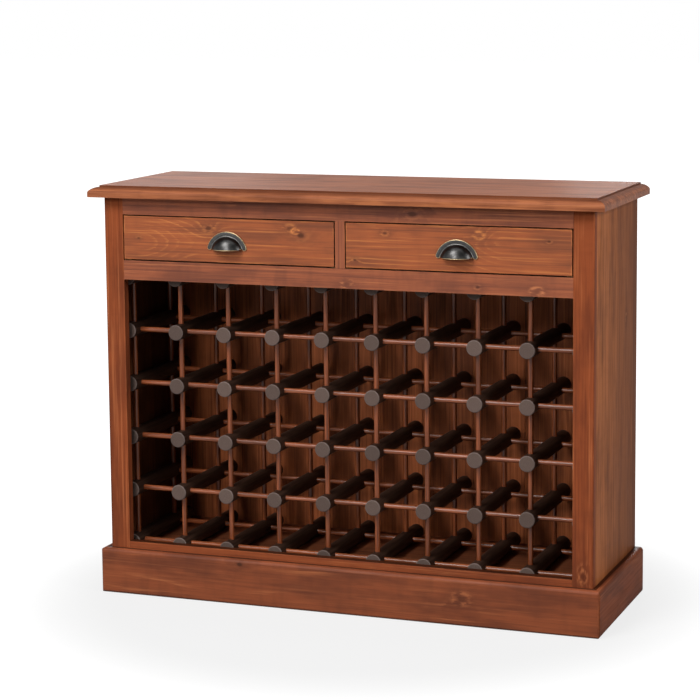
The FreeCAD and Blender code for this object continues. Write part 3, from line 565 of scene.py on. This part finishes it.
# Runners, kickers and stops: bare planed pine, glued and pinned inside the carcass.
# They are seen only when a drawer is out.
for piece in ("left_runner", "centre_runner", "right_runner", "left_kicker", "centre_kicker", "right_kicker"):
    stained_pine(piece, "y", "x", bare_pine, pith=(0.01, 0.03), lean=0.01)
stained_pine("drawer_stops", "x", "y", bare_pine, pith=(0.01, 0.03), lean=0.01)

# Top: a pine board with a small step, a round and an upright fascia worked along its front and ends.
# The round is rubbed light along its nose, and the corner under the step is painted darker, as painted shade.
top_stain = ((0.33, 0.108, 0.047), (0.62, 0.22, 0.085), (0.12, 0.035, 0.016))
nose_worn = (0.56, 0.19, 0.07)
step_shade = (0.1, 0.028, 0.012)
nose_reach = 0.02
nose_span_shares = (0.8, 0.25)
nose_noise = ((7, 60, 60), 31.0, 3.0)
nose_patches = (0.5, 0.72)
nose_share = 0.45
step_share = 0.65
step_reach = (0.001, 0.012)
step_edge = 0.0005
top_low, top_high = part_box("top_board")


def past_edge(tree, parts):
    """How far a point lies past the top's front and ends, less than nought inside them."""
    aside = calc(tree, "SUBTRACT", calc(tree, "ABSOLUTE", parts[0]), top_high.x)
    return calc(tree, "MAXIMUM", aside, calc(tree, "SUBTRACT", top_low.y, parts[1]))


def on_nose(tree, place, parts):
    """The rubbed stretches of the round."""
    nose = fade(tree, past_edge(tree, parts), *(-nose_reach * share for share in nose_span_shares))
    rubbed = fade(tree, grain_noise(tree, place, *nose_noise), *nose_patches)
    return times(tree, times(tree, nose, rubbed), nose_share)


def under_step(tree, place, parts):
    """The corner between the round and the step above it."""
    outward = past_edge(tree, parts)
    inner = fade(tree, outward, -nose_reach - step_edge, -nose_reach)
    return times(tree, times(tree, fade(tree, outward, -step_reach[0], -step_reach[1]), inner), step_share)


stained_pine("top_board", "x", "z", top_stain, pith=(0.06, -0.2), lean=0.05, ring=0.009, wear=0.0, sheen=0.06)
wash("top_board", nose_worn, on_nose)
# Painted shade in the corner under the step.
wash("top_board", step_shade, under_step)

# Plinth: three boards with rounded edges, planted on the foot of the carcass and mitred at the front.
# They carry the same red-brown stain, a little darker and more scuffed than the frame above.
# The ledge along their top and the strip along their foot are painted dark, as painted shade under the bottom
# rail and where they meet the floor.
plinth_stain = ((0.265, 0.07, 0.028), (0.52, 0.17, 0.066), (0.092, 0.028, 0.016))
plinth_look = {"ring": 0.008, "mottle": 0.22, "shade_behind": 0.75, "ledge": 0.009, "streaks": 0.45}
plinth_knots = [(-0.231, 0.09, 0.01, 0.9), (0.27, 0.059, 0.013, 0.35)]
foot_shade = (0.03, 0.011, 0.007)
foot_shade_heights = (0.007, 0.001)
foot_shade_share = 0.7


def at_foot(tree, place, parts):
    """The strip that touches the ground."""
    return times(tree, fade(tree, parts[2], *foot_shade_heights), foot_shade_share)


stained_pine("plinth_front", "x", "y", plinth_stain, plinth_knots,
             pith=(0.02, 0.08), lean=0.012, **plinth_look)
stained_pine("plinth_left", "y", "x", plinth_stain, pith=(0.02, 0.08), lean=0.02, sheen=0.01, **plinth_look)
stained_pine("plinth_right", "y", "x", plinth_stain, pith=(0.01, -0.08), lean=0.03, sheen=0.01, **plinth_look)
# Painted shade along the foot, where the plinth meets the floor.
for piece in ("plinth_front", "plinth_left", "plinth_right"):
    wash(piece, foot_shade, at_foot)

# Drawers: fronts of the brightest boards, lapped on to boxes of bare pine.
# The fronts show knots and the sweeping grain of boards sawn near the bark.
front_stain = ((0.36, 0.099, 0.036), (0.69, 0.24, 0.072), (0.15, 0.05, 0.027))
# The fronts' edges are painted dark too, as painted shade in the gaps round them.
front_look = {"wear": 0.55, "shade_behind": 0.6}
left_knots = [
    (-0.464, 0.787, 0.004, 0.5), (-0.299, 0.813, 0.009, 0.55),
    (-0.112, 0.818, 0.009, 0.4), (-0.1, 0.813, 0.006, 0.0), (-0.088, 0.804, 0.012, 0.8),
]
right_knots = [
    (0.451, 0.809, 0.004, 0.6), (0.033, 0.757, 0.004, 0.6),
    (0.1, 0.815, 0.006, 0.5), (0.302, 0.817, 0.008, 0.0),
]
left_sweep = (-0.47, -0.31, 0.03)
right_sweep = (0.36, 0.22, 0.03)
stained_pine("left_drawer_front", "x", "y", front_stain, left_knots,
             pith=(-0.004, 0.03), lean=0.03, sweep=left_sweep, **front_look)
stained_pine("right_drawer_front", "x", "y", front_stain, right_knots,
             pith=(0.012, 0.03), lean=-0.02, sweep=right_sweep, **front_look)
for hand in ("left", "right"):
    for piece in ("left_side", "right_side"):
        stained_pine(f"{hand}_drawer_{piece}", "y", "x", bare_pine, pith=(0.01, 0.06), lean=0.01)
    stained_pine(f"{hand}_drawer_back", "x", "y", bare_pine, pith=(0.01, 0.06), lean=0.01)
    stained_pine(f"{hand}_drawer_bottom", "x", "z", bare_pine, pith=(0.05, 0.12), lean=0.02)

# Cup pulls: half-moon cups cast with an arched flange on two round feet, screwed on from inside the drawer.
# The metal has a dark antique finish, rubbed through to the brass along the flange's rim and the lip.
# A fine bead runs along the arch where the cup meets its flange, in paler metal as a painted highlight.
flange_thickness = 0.003
flange_rim = 0.0011
rim_reach = 0.003
rim_slants = (0.1, 0.97)
foot_radius = 0.00525
foot_reach = 0.04
cup_projection = 0.025
cup_wall = 0.0022
cup_overlap = 0.0004
cup_segments = 96
lip_round = 0.0008
lip_dip = 0.1
lip_margin = 1.2
bead_radius = 0.0009
bead_sides = 12
bead_steps = 64
bead_margin = 1.1
strip_edge = 0.001
half_turn_steps = 72
fewest_steps = 12
cast_angle = 50
patch_noise = ((240, 240, 240), 4.0, 4.0)
grit_noise = ((1500, 1500, 1500), 7.0, 2.0)
grit_bump = (0.02, 0.0002)
metal_gloss = (0.28, 0.34)
wear_width = 0.25
pull_low, pull_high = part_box("left_drawer_pull")
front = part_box("left_drawer_front")[0].y
middle = (pull_low.x + pull_high.x) / 2
height = pull_high.z - pull_low.z
crown = height - foot_radius
drop = (foot_reach ** 2 + foot_radius ** 2 - crown ** 2) / (2 * (crown - foot_radius))
arch = height + drop
inner_arch = arch - foot_radius * 2
foot_angle = math.atan2(foot_radius + drop, foot_reach)
arch_angle = math.pi - foot_angle * 2
lip = pull_low.z + inner_arch * math.sin(foot_angle) - drop
centre = Vector((middle, front, pull_low.z - drop))
bowl = inner_arch + cup_overlap
bead_path = bowl + bead_radius * 0.5


def dark_metal(name, clean, worn, wear_start):
    """Metal whose two colours meet in small rubbed patches."""
    material, tree, shader, place = new_finish(name)
    patch = grain_noise(tree, place, *patch_noise)
    grit = grain_noise(tree, place, *grit_noise)
    colour = tint(tree, fade(tree, patch, wear_start, wear_start + wear_width), clean, worn)
    join_finish(tree, shader, colour, between(tree, patch, *metal_gloss), grit, *grit_bump)
    shader.inputs["Metallic"].default_value = 1.0
    return material


def edit_all():
    """Open the active piece for editing, with all of it selected."""
    bpy.ops.object.mode_set(mode="EDIT")
    bpy.ops.mesh.select_all(action="SELECT")


def turn_out():
    """Point all faces of the piece outwards and close the edit."""
    bpy.ops.mesh.select_all(action="SELECT")
    bpy.ops.mesh.normals_make_consistent(inside=False)
    bpy.ops.object.mode_set(mode="OBJECT")


def flat_fan(banded, inner, outer, angle, start, hub, way):
    """A flat strip, turned in the drawer front's plane from an edge between two radii about a hub."""
    direction = Vector((math.cos(start), 0, math.sin(start)))
    bpy.ops.object.select_all(action="DESELECT")
    spot = hub + direction * (inner + outer) / 2
    bpy.ops.mesh.primitive_plane_add(size=1, location=spot, rotation=(0, -start, 0))
    strip = bpy.context.object
    strip.scale = (outer - inner, strip_edge, 1)
    bpy.ops.object.transform_apply(location=True, rotation=True, scale=True)
    bpy.ops.object.mode_set(mode="EDIT")
    bpy.ops.mesh.select_mode(type="VERT")
    bpy.ops.mesh.select_all(action="DESELECT")
    bpy.ops.object.mode_set(mode="OBJECT")
    for point in strip.data.vertices:
        point.select = point.co.y > hub.y
    bpy.ops.object.mode_set(mode="EDIT")
    bpy.ops.mesh.delete(type="VERT")
    bpy.ops.mesh.select_all(action="SELECT")
    bpy.ops.transform.translate(value=(0, strip_edge / 2, 0))
    if banded:
        bpy.ops.mesh.subdivide(number_cuts=1)
    steps = max(fewest_steps, round(angle / math.pi * half_turn_steps))
    bpy.ops.mesh.spin(steps=steps, angle=angle, center=hub, axis=(0, -way, 0))
    bpy.ops.object.mode_set(mode="OBJECT")
    return strip


def metal_at(face):
    """Which finish a face of the pull has: 0 is dark, 1 is rubbed to the brass and 2 is the bead's paler
    metal, a painted highlight.
    """
    spot = face.center
    slanted = spot.y > front - flange_thickness and rim_slants[0] < abs(face.normal.y) < rim_slants[1]
    on_rim = slanted and ((spot - centre).length > arch - rim_reach or spot.z < lip)
    lip_here = lip - (front - spot.y) * lip_dip
    on_lip = spot.y < front - flange_thickness * 2 and spot.z < lip_here + lip_round * lip_margin
    across = (Vector((spot.x, front, spot.z)) - centre).length
    from_bead = max(abs(across - bead_path), abs(spot.y - front + flange_thickness))
    on_bead = from_bead < bead_radius * bead_margin
    return 1 if on_rim or on_lip else 2 if on_bead else 0


strips = [flat_fan(True, inner_arch, arch, arch_angle, foot_angle, centre, -1)]
for side, start in ((1, foot_angle), (-1, math.pi - foot_angle)):
    foot = Vector((middle + foot_reach * side, front, pull_low.z + foot_radius))
    strips.append(flat_fan(False, 0, foot_radius, math.pi, start, foot, side))
for strip in strips:
    strip.select_set(True)
pull = strips[0]
bpy.context.view_layer.objects.active = pull
bpy.ops.object.join()
edit_all()
bpy.ops.mesh.remove_doubles(threshold=weld_reach)
bpy.ops.mesh.extrude_region_move(TRANSFORM_OT_translate={"value": (0, -flange_thickness, 0)})
turn_out()
bevel(pull, "rim", flange_rim, segments=3, angle=cast_angle)
bpy.ops.object.modifier_apply(modifier="rim")

bead_start = Vector((math.cos(foot_angle), 0, math.sin(foot_angle))) * bead_path
bead_start = centre + Vector((0, -flange_thickness, 0)) + bead_start
bpy.ops.object.select_all(action="DESELECT")
bpy.ops.mesh.primitive_circle_add(
    vertices=bead_sides, radius=bead_radius, location=bead_start, rotation=(0, -foot_angle, 0))
bead = bpy.context.object
bpy.ops.object.transform_apply(location=True, rotation=True, scale=True)
edit_all()
bpy.ops.mesh.spin(steps=bead_steps, angle=arch_angle, center=centre, axis=(0, 1, 0))
bpy.ops.mesh.select_all(action="SELECT")
bpy.ops.mesh.fill_holes(sides=0)
turn_out()

bpy.ops.object.select_all(action="DESELECT")
bpy.ops.mesh.primitive_uv_sphere_add(
    segments=cup_segments, ring_count=cup_segments // 2, radius=1, location=centre)
cup = bpy.context.object
cup.scale = (bowl, cup_projection, bowl)
bpy.ops.object.transform_apply(location=True, rotation=True, scale=True)
bpy.ops.object.mode_set(mode="EDIT")
behind_cup = ((0, front - flange_thickness * 0.5, 0), (0, 1, 0))
below_cup = ((0, front, lip), (0, lip_dip, -1))
for point, away in (behind_cup, below_cup):
    bpy.ops.mesh.select_all(action="SELECT")
    bpy.ops.mesh.bisect(plane_co=point, plane_no=away, clear_outer=True)
bpy.ops.object.mode_set(mode="OBJECT")
cup.modifiers.new("wall", "SOLIDIFY").thickness = cup_wall
bevel(cup, "edge", lip_round, segments=3, angle=cast_angle)
bpy.ops.object.modifier_apply(modifier="wall")
bpy.ops.object.modifier_apply(modifier="edge")

bead.select_set(True)
pull.select_set(True)
bpy.context.view_layer.objects.active = pull
bpy.ops.object.join()
bpy.ops.object.shade_smooth_by_angle(angle=math.radians(sharp_angle))
pull.data.materials.clear()
pull.data.materials.append(dark_metal("antique_pull", (0.042, 0.041, 0.04), (0.058, 0.056, 0.054), 0.45))
pull.data.materials.append(dark_metal("rubbed_brass", (0.3, 0.22, 0.12), (0.45, 0.33, 0.18), 0.3))
# Painted highlight: the bead's paler metal stands in for the light along it.
pull.data.materials.append(dark_metal("bead_highlight", (0.16, 0.155, 0.15), (0.24, 0.23, 0.22), 0.4))
for face in pull.data.polygons:
    face.material_index = metal_at(face)

pull.name = "left_cup_pull"
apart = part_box("right_drawer_pull")[0].x - pull_low.x
bpy.ops.object.duplicate_move(TRANSFORM_OT_translate={"value": (apart, 0, 0)})
twin = bpy.context.object
twin.name = "right_cup_pull"
bpy.ops.object.transform_apply(location=True, rotation=True, scale=True)
for piece, hand in ((pull, "left"), (twin, "right")):
    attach(piece, f"{hand}_drawer")
    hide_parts(f"{hand}_drawer_pull")

# Screws: countersunk wood screws through the back and up into the top, and two machine screws in each pull.
# They are steel with a dull zinc plating, and only the back's heads can be seen.
screw_steel = dark_metal("screw_steel", (0.5, 0.49, 0.46), (0.36, 0.35, 0.33), 0.4)
for piece in ("back_screws", "top_screws", "left_drawer_pull_screws", "right_drawer_pull_screws"):
    paint(piece, screw_steel)

# Studio floor: a wide pale sheet under the cabinet, which keeps its soft shadow.
# It fades to plain white away from the plinth, and is dark only right under it.
floor_size = 60
floor_grey = (0.25, 0.25, 0.25, 1)
floor_fade = (0.55, 1.05)
white_near = 0.64
white_strength = 1.24
plinth_inset = 0.022
under_plinth = (-0.012, -0.002)


def seen_behind(tree):
    """One for the rays that see the background, straight, by gloss or through a clear surface."""
    rays = add(tree, "LightPath").outputs
    seen = calc(tree, "MAXIMUM", rays["Is Camera Ray"], rays["Is Glossy Ray"])
    return calc(tree, "MAXIMUM", seen, rays["Is Transmission Ray"])


bpy.ops.object.select_all(action="DESELECT")
bpy.ops.mesh.primitive_plane_add(size=floor_size, location=(0, 0, 0))
floor = bpy.context.object
floor.name = "studio_floor"
floor_paint, tree, shader, place = new_finish("studio_floor")
shader.inputs["Base Color"].default_value = floor_grey
shader.inputs["Roughness"].default_value = 0.9
shader.inputs["Specular IOR Level"].default_value = 0.1
parts = add(tree, "SeparateXYZ", {0: place}).outputs
beside = calc(tree, "SUBTRACT", calc(tree, "ABSOLUTE", parts[0]), cad_box[1].x - plinth_inset)
before = calc(tree, "SUBTRACT", calc(tree, "ABSOLUTE", parts[1]), cad_box[1].y - plinth_inset)
outside = fade(tree, calc(tree, "MAXIMUM", beside, before), *under_plinth)
far = fade(tree, length(tree, place), *floor_fade)
white = times(tree, calc(tree, "MULTIPLY_ADD", far, 1.0 - white_near, white_near), outside)
glow = add(tree, "Emission", {"Color": (1, 1, 1, 1), "Strength": white_strength}).outputs[0]
shown = add(tree, "MixShader", {0: times(tree, seen_behind(tree), white), 1: shader.outputs[0], 2: glow})
tree.links.new(shown.outputs[0], tree.nodes["Material Output"].inputs["Surface"])
floor.data.materials.append(floor_paint)

# Studio light: plain white surroundings under a darker ceiling, with a large soft lamp from the left front.
# Weaker lamps fill in the right side, the top and the back.
# Each lamp has its place, the point that it looks at, its width and its power.
lamps = {
    "key": ((-1.4, -3.2, 3.8), (0, -0.1, 0.5), 1.6, 150),
    "front": ((-0.8, -4.3, 2.4), (0, 0, 0.55), 0.9, 60),
    "low": ((-2.2, -4.3, 0.75), (-0.1, 0, 0.7), 0.6, 9),
    "fill": ((2.5, -0.8, 1.7), (0.5, 0, 0.6), 1.0, 28),
    "above": ((0.0, -0.6, 3.6), (0, 0, 0), 2.4, 30),
    "behind": ((-2.3, 3.4, 1.7), (-0.4, 0, 0.9), 1.2, 7),
    "back": ((-0.1, 3.6, 0.75), (0, 0.2, 0.45), 0.8, 40),
}
ambient_light = 0.045
ceiling_slope = (0.2, 0.6)
ceiling_white = 0.15
world = bpy.data.worlds.new("studio")
world.use_nodes = True
tree = world.node_tree
ambient = tree.nodes["Background"]
ambient.inputs["Color"].default_value = (1, 1, 1, 1)
ambient.inputs["Strength"].default_value = ambient_light
upward = add(tree, "SeparateXYZ", {0: add(tree, "TexCoord").outputs["Generated"]}).outputs[2]
shade = between(tree, fade(tree, upward, *ceiling_slope), 1.0, ceiling_white, 0.0, 1.0)
white = add(tree, "Background", {"Color": (1, 1, 1, 1), "Strength": shade}).outputs[0]
mixed = add(tree, "MixShader", {0: seen_behind(tree), 1: ambient.outputs[0], 2: white}).outputs[0]
tree.links.new(mixed, tree.nodes["World Output"].inputs["Surface"])
bpy.context.scene.world = world
for name, (spot, aim, width, power) in lamps.items():
    lamp = bpy.data.lights.new(name, "AREA")
    lamp.size = width
    lamp.energy = power
    holder = bpy.data.objects.new(name, lamp)
    holder.location = spot
    holder.rotation_euler = (Vector(aim) - Vector(spot)).to_track_quat("-Z", "Y").to_euler()
    bpy.context.scene.collection.objects.link(holder)

# Camera: at standing height to the right of the front, with a long lens held nearly level.
# The focal length is in pixels of the square image, and the turn is in radians.
image_width = 700
focal_pixels = 2241.2
film_width = 36
camera_place = (1.6566, -4.499, 1.3354)
yaw, pitch, roll = 0.3609, 0.1271, -0.0091
camera_data = bpy.data.cameras.new("camera")
camera_data.sensor_width = film_width
camera_data.lens = focal_pixels / image_width * film_width
camera_data.shift_y = -0.12
camera_data.clip_end = 100
camera = bpy.data.objects.new("camera", camera_data)
forward = Vector((-math.sin(yaw) * math.cos(pitch), math.cos(yaw) * math.cos(pitch), -math.sin(pitch)))
level = Vector((math.cos(yaw), math.sin(yaw), 0))
upright = level.cross(forward)
right = level * math.cos(roll) + upright * math.sin(roll)
up = upright * math.cos(roll) - level * math.sin(roll)
turn = Matrix((right, up, -forward)).transposed().to_4x4()
camera.matrix_world = Matrix.Translation(camera_place) @ turn
bpy.context.scene.collection.objects.link(camera)
bpy.context.scene.camera = camera
bpy.context.scene.view_settings.view_transform = "Standard"
